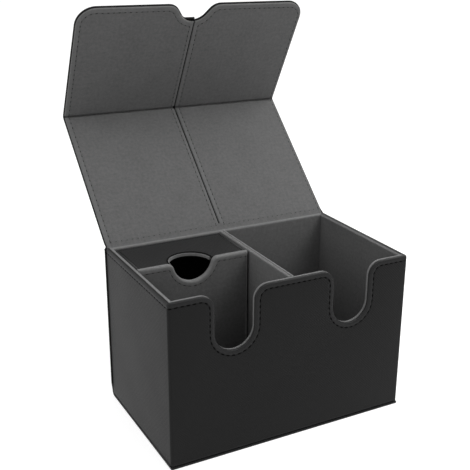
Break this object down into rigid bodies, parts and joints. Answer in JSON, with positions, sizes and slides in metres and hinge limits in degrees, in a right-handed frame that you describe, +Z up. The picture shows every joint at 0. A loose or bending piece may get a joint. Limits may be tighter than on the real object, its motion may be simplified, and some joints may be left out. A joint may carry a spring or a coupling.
{
  "type": "card storage box",
  "caption": "Leather-covered card storage box with side-by-side card bays, a thumb-notched front wall, a split folding lid with front flaps and a lift-out drawer.",
  "frame": {"origin": "middle of the box's underside, on the surface that it stands on", "axes": "+X to the right seen from the front, +Y to the back, where the lid is hinged, +Z up"},
  "size_m": [0.1544, 0.1661, 0.2364],
  "materials": {
    "leather": "matte black imitation leather with a fine printed texture",
    "microfibre": "grey microfibre suede",
    "card": "grey board",
    "magnet": "plated magnet"
  },
  "bodies": {
    "box": {"cover_skin": "leather", "bottom_board": "card", "back_board": "card", "body_skin": "leather", "front_wall_board": "card", "left_wall_board": "card", "right_wall_board": "card", "rear_wall_board": "card", "floor_board": "card", "front_lining": "microfibre", "left_lining": "microfibre", "right_lining": "microfibre", "rear_lining": "microfibre", "left_floor_lining": "microfibre", "right_floor_lining": "microfibre", "divider_board": "card", "divider_left_lining": "microfibre", "divider_right_lining": "microfibre", "short_divider_board": "card", "short_divider_cover": "microfibre", "front_left_magnet": "magnet", "front_right_magnet": "magnet", "left_hinge_strip": "leather", "right_hinge_strip": "leather"},
    "drawer": {"drawer_back_board": "card", "drawer_left_board": "card", "drawer_right_board": "card", "drawer_bottom_board": "card", "drawer_top_board": "card", "drawer_skin": "leather", "drawer_top_skin": "leather", "drawer_lining": "microfibre"},
    "left_lid": {"left_lid_board": "card", "left_lid_skin": "leather", "left_lid_lining": "microfibre", "left_fold_strip": "leather"},
    "left_flap": {"left_flap_board": "card", "left_flap_skin": "leather", "left_flap_lining": "microfibre", "left_flap_magnet": "magnet"},
    "right_lid": {"right_lid_board": "card", "right_lid_skin": "leather", "right_lid_lining": "microfibre", "right_fold_strip": "leather"},
    "right_flap": {"right_flap_board": "card", "right_flap_skin": "leather", "right_flap_lining": "microfibre", "right_flap_magnet": "magnet"}
  },
  "joints": [
    {"name": "left_lid_hinge", "type": "hinge", "parent": "box", "child": "left_lid", "pos_m": [-0.038, 0.0468, 0.1005], "axis": [-1, 0, 0], "range_deg": [-137.3, 42.7], "deforming": ["left_hinge_strip"]},
    {"name": "left_flap_fold", "type": "hinge", "parent": "left_lid", "child": "left_flap", "pos_m": [-0.038, 0.11676, 0.16506], "axis": [-1, 0, 0], "range_deg": [-13.04, 76.96], "deforming": ["left_fold_strip"]},
    {"name": "right_lid_hinge", "type": "hinge", "parent": "box", "child": "right_lid", "pos_m": [0.0388, 0.0468, 0.1005], "axis": [-1, 0, 0], "range_deg": [-137.3, 42.7], "deforming": ["right_hinge_strip"]},
    {"name": "right_flap_fold", "type": "hinge", "parent": "right_lid", "child": "right_flap", "pos_m": [0.0388, 0.11676, 0.16506], "axis": [-1, 0, 0], "range_deg": [-13.04, 76.96], "deforming": ["right_fold_strip"]},
    {"name": "drawer_slide", "type": "slide", "parent": "box", "child": "drawer", "axis": [0, 0, 1], "range_m": [0, 0.1]}
  ]
}
